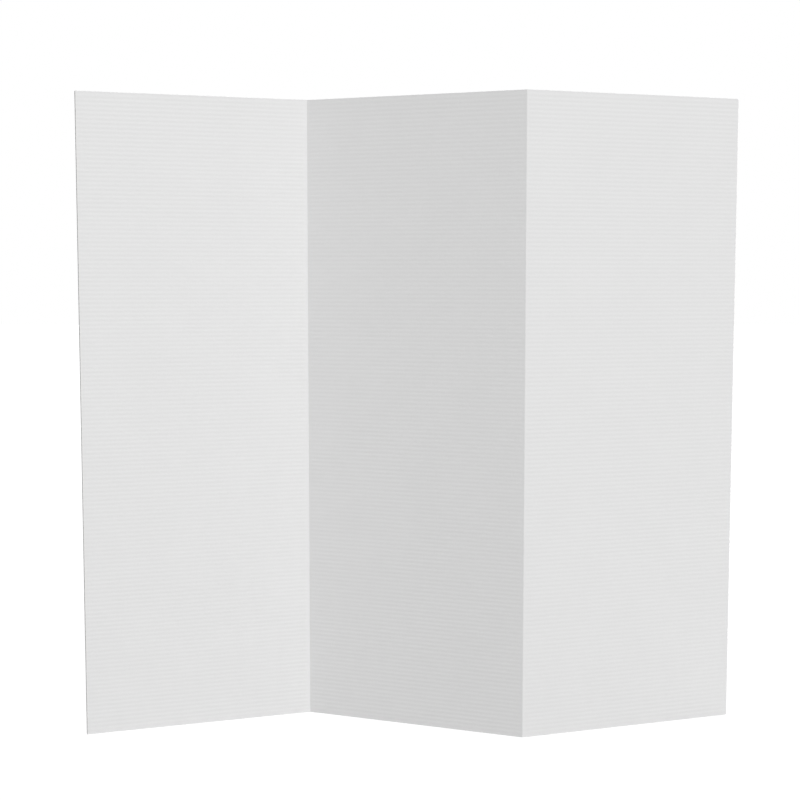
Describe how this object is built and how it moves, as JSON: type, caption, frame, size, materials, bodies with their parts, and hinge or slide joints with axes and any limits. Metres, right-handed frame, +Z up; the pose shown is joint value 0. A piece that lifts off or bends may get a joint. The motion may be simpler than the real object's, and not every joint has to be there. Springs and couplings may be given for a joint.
{
  "type": "folding room divider",
  "caption": "Free-standing folding screen of white corrugated board: flat panels joined by creased folds, standing in a zigzag.",
  "frame": {"origin": "middle of the middle panel, on the floor", "axes": "+X along the spread of the standing screen, +Y from its front to its back, +Z up"},
  "size_m": [1.6988, 0.2134, 1.65],
  "materials": {
    "facing": "smooth matt white paper over fluting",
    "medium": "raw grey fluting paper"
  },
  "bodies": {
    "middle_panel": {"middle_front_facing": "facing", "middle_fluted_medium": "medium", "middle_back_facing": "facing", "left_fold_creased_facing": "facing", "left_fold_crushed_medium": "medium", "right_fold_creased_facing": "facing", "right_fold_crushed_medium": "medium"},
    "left_panel": {"left_front_facing": "facing", "left_fluted_medium": "medium", "left_back_facing": "facing"},
    "right_panel": {"right_front_facing": "facing", "right_fluted_medium": "medium", "right_back_facing": "facing"}
  },
  "joints": [
    {"name": "left_fold", "type": "hinge", "parent": "middle_panel", "child": "left_panel", "pos_m": [-0.28316, 0.09918, 0], "axis": [0, 0, 1], "range_deg": [-40, 140], "deforming": ["left_fold_creased_facing", "left_fold_crushed_medium"]},
    {"name": "right_fold", "type": "hinge", "parent": "middle_panel", "child": "right_panel", "pos_m": [0.28316, -0.09918, 0], "axis": [0, 0, 1], "range_deg": [-40, 140], "deforming": ["right_fold_creased_facing", "right_fold_crushed_medium"]}
  ]
}
